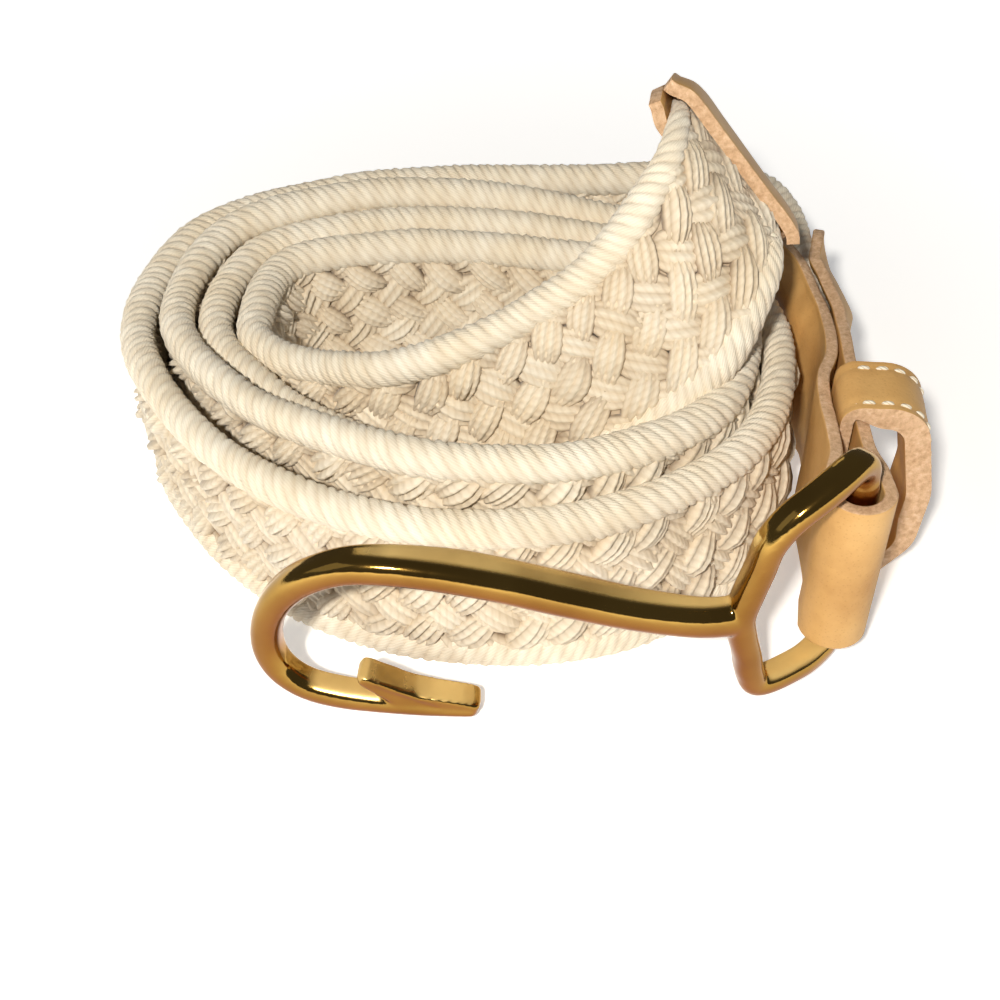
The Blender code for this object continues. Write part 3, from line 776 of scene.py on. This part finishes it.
def rounded(corners, steps=8):
    """A closed outline whose corners are arcs."""
    out = []
    for i in range(len(corners)):
        here = Vector(corners[i][:2])
        to_a = (Vector(corners[i - 1][:2]) - here).normalized()
        to_b = (Vector(corners[(i + 1) % len(corners)][:2]) - here).normalized()
        half = math.acos(max(-1, min(1, to_a.dot(to_b)))) / 2
        radius = corners[i][2]
        middle = here + (to_a + to_b).normalized() * (radius / math.sin(half))
        start = here + to_a * (radius / math.tan(half)) - middle
        way = 1 if to_a.x * to_b.y - to_a.y * to_b.x < 0 else -1
        for k in range(steps + 1):
            a = way * (math.pi - 2 * half) * k / steps
            c, s = math.cos(a), math.sin(a)
            out.append(tuple(middle + Vector((start.x * c - start.y * s, start.x * s + start.y * c))))
    return out


def keeper_frame():
    fine, side = strap_rows()
    i = int(np.argmin(np.abs(fine[:, 1] - KEEPER_AT)))
    across = np.array((*side[i], 0.0))
    return np.array((fine[i][0], fine[i][1], 0.0)), across, np.array((-across[1], across[0], 0.0))


# %% The keeper's outline, in even steps
corners = rounded(KEEPER_LOOP)
closed = np.array(corners + corners[:1])
closed_reach = lengths(closed)
KEEPER_EVEN = read(closed, closed_reach, np.arange(0.0, closed_reach[-1], 0.7))


def keeper_normals():
    """The way out of the loop at each point of its outline."""
    way = np.gradient(np.vstack((KEEPER_EVEN[-1:], KEEPER_EVEN, KEEPER_EVEN[:1])), axis=0)[1:-1]
    normal = unit(np.stack((-way[:, 1], way[:, 0]), axis=1))
    return normal * np.sign(np.mean(np.sum(normal * (KEEPER_EVEN - KEEPER_INSIDE), axis=1)))


print("the keeper's strip is", round(closed_reach[-1], 1), "mm long")


# %% Keeper
def keeper():
    centre, across, along = keeper_frame()
    wide = np.linspace(-1, 1, 17) * KEEPER_WIDTH / 2
    loop = np.vstack((KEEPER_EVEN, KEEPER_EVEN[:1]))
    dent = -0.22 * np.exp(-(((np.abs(wide) - KEEPER_SEAM) / 0.7) ** 2))
    normal = keeper_normals()
    share = np.interp(loop[:, 0], (0.8, 6.0), (0.0, 1.0)) * np.interp(loop[:, 1], (2.0, 16.0), (0.0, 1.0))
    thickness = KEEPER_LEATHER + (KEEPER_DOUBLE - KEEPER_LEATHER) * share
    grid = []
    for i, p in enumerate(loop):
        row = []
        for w, d in zip(wide, dent):
            q = p + normal[i % len(normal)] * (d - (thickness[i] - KEEPER_LEATHER) / 2)
            row.append(centre + across * q[0] + along * w + np.array((0, 0, q[1])))
        grid.append(row)
    thing = add_grid("leather_keeper", np.array(grid), [leather, cut_edge])
    group = thing.vertex_groups.new(name="thickness")
    for i, t in enumerate(thickness):
        group.add(list(range(i * len(wide), (i + 1) * len(wide))), t / KEEPER_DOUBLE, "REPLACE")
    in_edit_mode(thing, lambda: bpy.ops.mesh.remove_doubles(threshold=1e-6))
    cut_from_hide(thing, KEEPER_DOUBLE, 0.35, group="thickness")
    finish_piece(thing, "belt", "leather", "keeper")


keeper()

# %% [markdown]
# ## The end tab
# A short piece of the same leather folds over the free end of the braid and is sewn shut. The braid
# pushes it out where its two cords lie, and the top edge closes over them. One section, repeated back
# along the band and round its end, makes both halves and the fold in a single sheet.

# %% End tab
TAB_SECTION = (
    # height from the band's middle, distance of each half from it
    (-16.8, 2.0),
    (-15.2, 2.9),
    (-11.4, 3.2),
    (-7.6, 3.1),
    (0.0, 3.1),
    (7.6, 3.1),
    (11.4, 3.15),
    (14.4, 3.0),
    (16.0, 2.3),
    (17.2, 1.6),
    (18.4, 1.25),
)
TAB_LENGTH = 15.0
TAB_OUTER = 0.8  # the outer half's length, as a share of the inner's
TAB_INNER_GAP = 0.85  # the inner half lies closer to the band
TAB_PLAY = 0.6  # mm from the band's end to the fold
FOLD_POINTS = 16


def end_tab():
    section = smooth(TAB_SECTION, per=3)
    heights, gaps = section[:, 0], section[:, 1]
    up_at_end, out_at_end = unit(UP[-1]), OUT[-1]

    def trimmed(back):
        """The upper corner at the fold is cut lower."""
        near_fold = (1 - back / TAB_LENGTH) ** 2
        return heights - 3.2 * near_fold * np.clip(heights / heights[-1], 0, 1) ** 2

    def line(back, away):
        """The section this far back from the band's end, on the inner or the outer half."""
        s = np.full_like(heights, BELT_LENGTH - back)
        reach = away * gaps * (TAB_INNER_GAP if away < 0 else 1.0)
        up = unit(read(UP, ALONG, s)) * trimmed(back)[:, None]
        return read(MIDDLE, ALONG, s) + up + read(OUT, ALONG, s) * reach[:, None]

    backs = np.linspace(TAB_LENGTH, 0.0, 18)
    grid = [line(back, -1) for back in backs]
    middle = MIDDLE[-1] + WAY[-1] * TAB_PLAY
    for k in range(1, FOLD_POINTS):
        a = math.pi * k / FOLD_POINTS
        reach = gaps * math.cos(a) * (TAB_INNER_GAP if k < FOLD_POINTS / 2 else 1.0)
        round_end = WAY[-1] * (gaps * math.sin(a))[:, None]
        grid.append(middle + up_at_end * trimmed(0.0)[:, None] - out_at_end * reach[:, None] + round_end)
    grid += [line(back * TAB_OUTER, 1) for back in backs[::-1]]
    thing = add_grid("leather_tab", np.array(grid), [leather, cut_edge])
    cut_from_hide(thing, LEATHER, 0.35)
    finish_piece(thing, "belt", "leather", "end_tab")


end_tab()

# %% [markdown]
# ## The brass hook
# The buckle is one casting: an eye with a straight bar, a long shank, a wide bend and a flat-topped
# barb. Hook and eye are curves on a bowed sheet, each swept with a domed section, and the barb is an
# outline pushed through the same sheet. The three are melted into one skin with a fine remesh, which
# leaves the small fillets that a mould leaves. A boolean union would join them too, with hard creases.

# %% Buckle tables
BUCKLE_PLAN = (
    # x, y of the sheet that the buckle bows along
    (55.9, -2.6),
    (50.2, -8.0),
    (42.2, -12.0),
    (31.0, -14.2),
    (12.0, -15.6),
    (-10.0, -15.8),
    (-27.0, -14.2),
    (-42.0, -11.0),
)
HOOK = (
    # along the bow from the bar, height, width of the rod
    (21.8, 20.4, 6.6),
    (28.5, 20.9, 6.0),
    (39.0, 23.7, 5.6),
    (51.4, 28.1, 5.6),
    (60.0, 31.1, 5.5),
    (69.0, 33.3, 5.4),
    (77.0, 34.1, 5.4),
    (83.5, 33.3, 5.4),
    (89.4, 30.0, 5.3),
    (93.8, 25.0, 5.2),
    (96.6, 18.8, 5.1),
    (97.4, 12.4, 5.0),
    (95.8, 7.2, 4.9),
    (91.9, 3.9, 4.8),
    (86.0, 2.6, 4.8),
    (78.0, 2.3, 4.4),
    (70.0, 2.0, 3.7),
    (63.8, 1.8, 3.1),
)
EYE = (
    # the same, from the foot of the shank over the top and down the bar
    (21.2, 20.8, 4.8),
    (20.4, 25.6, 4.7),
    (19.2, 31.0, 4.6),
    (18.0, 36.6, 4.6),
    (14.8, 41.0, 4.7),
    (9.6, 43.9, 4.8),
    (5.4, 45.3, 4.8),
    (2.6, 45.0, 4.8),
    (0.6, 43.6, 5.0),
    (0.0, 41.2, 5.4),
    (0.0, 39.0, 5.6),
    (0.0, 30.0, 5.6),
    (0.0, 14.0, 5.6),
    (0.0, 7.4, 5.6),
    (0.0, 6.0, 5.2),
    (0.6, 4.0, 4.7),
    (2.2, 2.8, 4.5),
    (5.0, 2.5, 4.6),
    (9.8, 2.5, 4.6),
    (16.2, 2.6, 4.7),
    (18.0, 6.2, 4.7),
    (19.0, 10.8, 4.7),
    (20.4, 16.0, 4.8),
)
BARB = (
    # along the bow, height
    (80.8, 9.7),
    (82.3, 9.0),
    (82.2, 7.8),
    (77.2, 3.4),
    (75.0, 1.4),
    (64.2, 0.8),
    (62.8, 1.9),
    (63.4, 3.8),
    (73.0, 6.3),
)
BRASS_DEPTH = 5.0
BAR_FROM, BAR_TO = 5.8, 41.4  # heights between which the eye is a round bar
LEDGE_ABOVE = 14.0  # height over which the flat back stands out
LEDGE_AT, LEDGE = (24.0, 32.0, 44.0, 66.0, 80.0, 87.0), (0.4, 1.4, 2.2, 2.2, 0.9, 0.0)  # by this much

# %% The bowed sheet and the rods on it
bow = smooth([(x, y, 0.0) for x, y in BUCKLE_PLAN], per=40)
bow_reach = lengths(bow)
BOW_AT = np.arange(-1.0, bow_reach[-1], 0.25)
BOW = read(bow, bow_reach, BOW_AT)
BOW[BOW_AT < 0] = bow[0] + (bow[0] - bow[4]) / bow_reach[4] * -BOW_AT[BOW_AT < 0][:, None]
bow_way = unit(read(BOW, BOW_AT, BOW_AT + 1.0) - read(BOW, BOW_AT, BOW_AT - 1.0))
BOW_FRONT = np.stack((bow_way[:, 1], -bow_way[:, 0], 0 * bow_way[:, 0]), axis=1)
BOW_FRONT *= np.where(BOW_FRONT[:, 1:2] > 0, -1, 1)


def on_bow(along, height, out):
    """Points on the buckle: along the bow from the bar, height, and out towards its front."""
    along = np.asarray(along, float)
    here = read(BOW, BOW_AT, along) + read(BOW_FRONT, BOW_AT, along) * np.asarray(out)[..., None]
    here[..., 2] += height
    return here


def rod_section(width, is_bar, count=28):
    """The rod's section: round in the bar, elsewhere a flat back and a domed front."""
    a = np.linspace(0, 2 * np.pi, count, endpoint=False)
    if is_bar:
        return width / 2 * np.cos(a), width / 2 * np.sin(a)
    c, s = np.cos(a), np.sin(a)
    x = np.sign(c) * np.abs(c) ** 0.75
    y = np.where(s > 0, s, -np.abs(s) ** 0.35)
    return width / 2 * x, BRASS_DEPTH / 2 * y


def rod(name, rows, closed):
    """One rod swept along its rows; closed where it meets itself."""
    fine = smooth(rows, per=8, closed=closed)
    if closed:
        fine = np.vstack((fine, fine[:1]))
    n = len(fine)
    grid = []
    for i in range(n):
        a = fine[i - 1] if i else (fine[-2] if closed else fine[0])
        b = fine[i + 1] if i < n - 1 else (fine[1] if closed else fine[-1])
        way = unit((b - a)[:2])
        along, height, width = fine[i]
        is_bar = closed and abs(along) < 0.25 and BAR_FROM < height < BAR_TO
        x, y = rod_section(width, is_bar)
        if not closed and height > LEDGE_ABOVE:
            flat = np.clip(-y / (BRASS_DEPTH / 2) - 0.4, 0, 0.6) / 0.6
            y = y - flat * np.interp(along, LEDGE_AT, LEDGE)
        grid.append(on_bow(along - way[1] * x, height + way[0] * x, y))
    points = np.array(grid)
    thing = add_grid(name, np.concatenate((points, points[:, :1]), axis=1), [brass])
    close_up(thing, ends=not closed)
    return thing


def barb_block():
    """The barb starts as a flat outline, is laid on the bow and pushed through its depth."""
    outline = smooth(BARB, per=4, closed=True)
    inward = unit(outline.mean(axis=0) - outline)
    rings = []
    for depth, shrink in ((-1.0, 0.25), (-0.85, 0.0), (0.1, 0.0), (0.6, 0.15), (0.92, 0.7)):
        q = outline + inward * shrink
        rings.append(on_bow(q[:, 0], q[:, 1], np.full(len(q), depth * BRASS_DEPTH / 2)))
    points = np.array(rings)
    thing = add_grid("barb_block", np.concatenate((points, points[:, :1]), axis=1), [brass])
    close_up(thing)
    return thing


# %% Where the brass is rubbed, and where a reflection is painted
def rubbed_and_painted_reflection(thing):
    """0 on faces turned downward, painted brown as a painted reflection; half on the polished front, 1 on
    the rubbed flat top and back.
    """
    count = len(thing.data.vertices)
    place, normal = np.zeros(count * 3), np.zeros(count * 3)
    thing.data.vertices.foreach_get("co", place)
    thing.data.vertices.foreach_get("normal", normal)
    place, normal = place.reshape(-1, 3) / MM + ORIGIN, normal.reshape(-1, 3)
    nearest = np.array([np.argmin(np.hypot(BOW[:, 0] - x, BOW[:, 1] - y)) for x, y in place[:, :2]])
    out = np.sum((place - BOW[nearest]) * BOW_FRONT[nearest] * (1, 1, 0), axis=1)
    along, height = BOW_AT[nearest], place[:, 2]
    facing = 0.85 * normal[:, 2] + 0.45 * np.sum(normal * bow_way[nearest], axis=1)
    top = np.clip((facing - 0.5) / 0.22, 0, 1)
    back = np.clip(0.6 - out, 0, 1) * (height < 38) * np.clip((82 - along) / 6, 0, 1)
    low = np.clip((14 - height) / 2, 0, 1) * ((along > 55) | (along < 22))
    # Faces turned downward are painted brown: a painted reflection of a brown table below.
    under = np.clip((0.35 - normal[:, 2]) / 0.5, 0, 1)
    return 0.5 + 0.5 * top * np.maximum(back, low) - 0.5 * under


# %% One casting
MELT_GRAIN = 0.32  # mm


def brass_hook():
    pieces = [rod("brass_hook", HOOK, False), rod("eye_ring", EYE, True), barb_block()]
    bpy.ops.object.select_all(action="DESELECT")
    for piece in pieces:
        piece.select_set(True)
    bpy.context.view_layer.objects.active = pieces[0]
    bpy.ops.object.join()
    thing = bpy.context.object
    melt = thing.modifiers.new("melt", "REMESH")
    melt.mode, melt.voxel_size = "VOXEL", MELT_GRAIN * MM
    ease = thing.modifiers.new("ease", "SMOOTH")
    ease.factor, ease.iterations = 0.5, 7
    apply_all(thing)
    layer = thing.data.attributes.new("rub_and_painted_reflection", "FLOAT", "POINT")
    layer.data.foreach_set("value", rubbed_and_painted_reflection(thing).astype(np.float32))
    finish_piece(thing, "buckle", "brass", "hook_buckle")


brass_hook()


# %% [markdown]
# ## The stitches
# Cream thread holds the keeper's edges. Each stitch is a small round-ended rod that dips into the
# leather at both ends. It is built ring by ring along the seam, because a straight copy of one stitch
# would stand off the leather where the keeper bends.

# %% Stitches
def stitch_row(points, normals, length=2.3, gap=0.75, thick=0.36, rings=7, sides=8):
    """Vertices and faces of stitches along a line of millimetre points."""
    reach = lengths(points)
    verts, faces = [], []
    at = 0.4
    while at + length < reach[-1]:
        s = np.linspace(at, at + length, rings)
        line = read(points, reach, s)
        up = unit(read(normals, reach, s))
        way = unit(line[-1] - line[0])
        u = np.linspace(-1, 1, rings)
        dip = -0.42 * np.abs(u) ** 3
        size = thick * np.sqrt(np.clip(1 - (np.abs(u) * 0.93) ** 4, 0.02, 1))
        base = len(verts)
        for i in range(rings):
            across = np.cross(way, up[i])
            for k in range(sides):
                a = 2 * math.pi * k / sides
                rise = dip[i] + 0.12 + size[i] * math.sin(a)
                verts.append(line[i] + up[i] * rise + across * size[i] * math.cos(a))
        for i in range(rings - 1):
            low, high = base + i * sides, base + (i + 1) * sides
            for k in range(sides):
                q = (k + 1) % sides
                faces.append((low + k, high + k, high + q, low + q))
        faces.append(tuple(base + k for k in range(sides)))
        faces.append(tuple(base + (rings - 1) * sides + k for k in range(sides - 1, -1, -1)))
        at += length + gap
    return verts, faces


def add_stitches(name, rows):
    verts, faces = [], []
    for points, normals in rows:
        v, f = stitch_row(points, normals)
        faces += [tuple(len(verts) + i for i in face) for face in f]
        verts += v
    thing = new_mesh(name, verts, faces, thread)
    in_edit_mode(thing, lambda: bpy.ops.mesh.normals_make_consistent(inside=False))
    finish_piece(thing, "belt", "leather")


def keeper_rows():
    """Both seams, from the top by the strap, over the outer side, to the lower corner."""
    centre, across, along = keeper_frame()
    outer = KEEPER_EVEN[:, 0] > 1.5
    loop, normal = KEEPER_EVEN[outer], keeper_normals()[outer]
    high = np.array((0.0, 0.0, 1.0))
    normals = normal[:, :1] * across + normal[:, 1:] * high
    seam = centre + loop[:, :1] * across + loop[:, 1:] * high + normals * (KEEPER_LEATHER / 2 - 0.2)
    return [(seam + along * w, normals) for w in (-KEEPER_SEAM, KEEPER_SEAM)]


add_stitches("keeper_stitches", keeper_rows())
